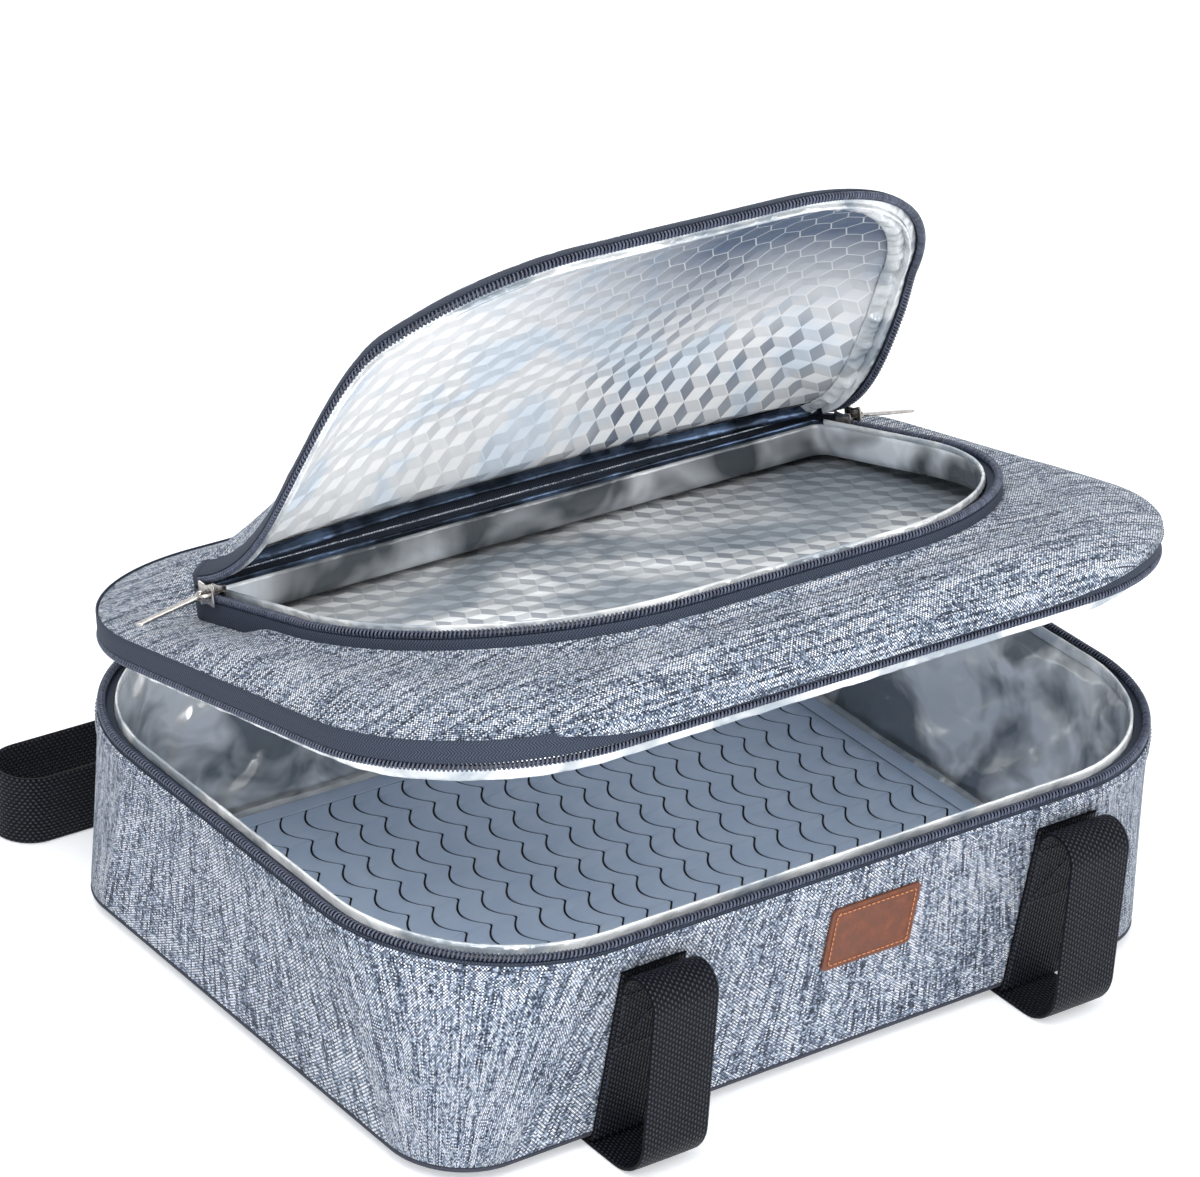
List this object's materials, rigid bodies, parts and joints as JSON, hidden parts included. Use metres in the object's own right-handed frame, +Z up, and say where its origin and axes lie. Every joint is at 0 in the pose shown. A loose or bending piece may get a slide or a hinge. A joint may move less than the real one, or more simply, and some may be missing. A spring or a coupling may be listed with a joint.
{
  "type": "casserole carrier",
  "caption": "Soft insulated carrier for a hot dish, with a zipped tub, a hinged zipped lid holding an upper compartment, a top flap, a lift-out mat and webbing handles.",
  "frame": {"origin": "on the surface that the carrier stands on, under the middle of the tub, on the flat underside of the front handle's grip", "axes": "+Z up, +X along the tub's long side, front face with the patch towards -Y, hinges towards +Y"},
  "size_m": [0.4066, 0.379, 0.332],
  "materials": {
    "heather_cloth": "blue-grey heather polyester with slubs and pale streaks",
    "piping": "dark woven piping",
    "foam": "white closed-cell foam, hidden",
    "stiff_board": "stiff board, hidden",
    "foil_film": "bright metallised film, creased",
    "zip_tape": "dark grey herringbone tape",
    "zip_coil": "black nylon zip coil",
    "webbing": "black basket-weave webbing",
    "silicone": "blue-grey silicone with wavy grooves",
    "tan_leather": "tan leather, stitched, bare",
    "slider_metal": "gunmetal plating, polished"
  },
  "bodies": {
    "tub": {"tub_wall_fabric": "heather_cloth", "tub_base_piping": "piping", "tub_base_fabric": "heather_cloth", "tub_base_board": "stiff_board", "tub_wall_foam": "foam", "tub_liner": "foil_film", "tub_liner_binding": "foil_film", "tub_rim_tape": "zip_tape", "tub_zip_tape": "zip_tape", "tub_zip_coil": "zip_coil", "tub_hinge_band": "heather_cloth", "leather_patch": "tan_leather", "webbing_strip_left": "webbing", "webbing_strip_right": "webbing"},
    "mat": {"silicone_mat": "silicone"},
    "hinge_strip": {"lid_hinge_strip": "heather_cloth"},
    "lid": {"lid_shoulder_fabric": "heather_cloth", "lid_shoulder_foam": "foam", "lid_liner": "foil_film", "lid_zip_coil": "zip_coil", "lid_zip_tape": "zip_tape", "lid_hinge_band": "heather_cloth", "lid_rim_tape": "zip_tape", "lid_lower_binding": "foil_film", "lid_divider_board": "stiff_board", "lid_divider_foil": "foil_film", "lid_underside_foil": "foil_film", "collar_zip_coil": "zip_coil", "collar_zip_tape": "zip_tape", "collar_hinge_band": "heather_cloth", "collar_rim_tape": "zip_tape", "collar_binding": "foil_film"},
    "flap": {"flap_fabric": "heather_cloth", "flap_foam": "foam", "flap_foil_panel": "foil_film", "flap_gathered_foil": "foil_film", "flap_binding": "foil_film", "flap_rim_tape": "zip_tape", "flap_zip_tape": "zip_tape", "flap_zip_coil": "zip_coil", "flap_hinge_band": "heather_cloth"},
    "main_left_slider": {"main_left_slider": "slider_metal"},
    "main_left_pull": {"main_left_pull": "slider_metal"},
    "main_right_slider": {"main_right_slider": "slider_metal"},
    "main_right_pull": {"main_right_pull": "slider_metal"},
    "top_left_slider": {"top_left_slider": "slider_metal"},
    "top_left_pull": {"top_left_pull": "slider_metal"},
    "top_right_slider": {"top_right_slider": "slider_metal"},
    "top_right_pull": {"top_right_pull": "slider_metal"},
    "front_handle": {"front_handle": "webbing", "handle_grip": "heather_cloth"},
    "back_handle": {"back_handle": "webbing"}
  },
  "joints": [
    {"name": "mat_lift", "type": "slide", "parent": "tub", "child": "mat", "axis": [0, 0, 1], "range_m": [0, 0.08]},
    {"name": "lid_lift", "type": "slide", "parent": "tub", "child": "hinge_strip", "axis": [0, 0, 1], "range_m": [-0.0184, 0]},
    {"name": "lid_hinge", "type": "hinge", "parent": "hinge_strip", "child": "lid", "pos_m": [0, 0.1541, 0.1221], "axis": [-1, 0, 0], "range_deg": [-11.5, 88.5]},
    {"name": "flap_hinge", "type": "hinge", "parent": "lid", "child": "flap", "pos_m": [0, 0.08768, 0.1608], "axis": [-1, 0, 0], "range_deg": [-41, 59]},
    {"name": "main_left_zip", "type": "hinge", "parent": "tub", "child": "main_left_slider", "pos_m": [-0.118, 0.0675, 0.1037], "axis": [0, 0, 1], "range_deg": [0, 60]},
    {"name": "main_left_pull_hinge", "type": "hinge", "parent": "main_left_slider", "child": "main_left_pull", "pos_m": [-0.15587, 0.14871, 0.1037], "axis": [0.9063, 0.4226, 0], "range_deg": [0, 150]},
    {"name": "main_right_zip", "type": "hinge", "parent": "tub", "child": "main_right_slider", "pos_m": [0.118, 0.0675, 0.1037], "axis": [0, 0, -1], "range_deg": [0, 60]},
    {"name": "main_right_pull_hinge", "type": "hinge", "parent": "main_right_slider", "child": "main_right_pull", "pos_m": [0.15587, 0.14871, 0.1037], "axis": [0.9063, -0.4226, 0], "range_deg": [0, 150]},
    {"name": "top_left_zip", "type": "slide", "parent": "lid", "child": "top_left_slider", "axis": [0, -0.9646, 0.2639], "range_m": [0, 0.05]},
    {"name": "top_left_pull_hinge", "type": "hinge", "parent": "top_left_slider", "child": "top_left_pull", "pos_m": [-0.1714, 0.06617, 0.16668], "axis": [0, 0.9646, -0.2639], "range_deg": [0, 100]},
    {"name": "top_right_zip", "type": "slide", "parent": "lid", "child": "top_right_slider", "axis": [0, -0.9646, 0.2639], "range_m": [0, 0.05]},
    {"name": "top_right_pull_hinge", "type": "hinge", "parent": "top_right_slider", "child": "top_right_pull", "pos_m": [0.1714, 0.06617, 0.16668], "axis": [0, -0.9646, 0.2639], "range_deg": [0, 100]},
    {"name": "front_handle_swing", "type": "hinge", "parent": "tub", "child": "front_handle", "pos_m": [0, -0.16262, 0.0787], "axis": [-1, 0, 0], "range_deg": [0, 150]},
    {"name": "back_handle_swing", "type": "hinge", "parent": "tub", "child": "back_handle", "pos_m": [0, 0.16262, 0.0787], "axis": [1, 0, 0], "range_deg": [0, 65]}
  ]
}
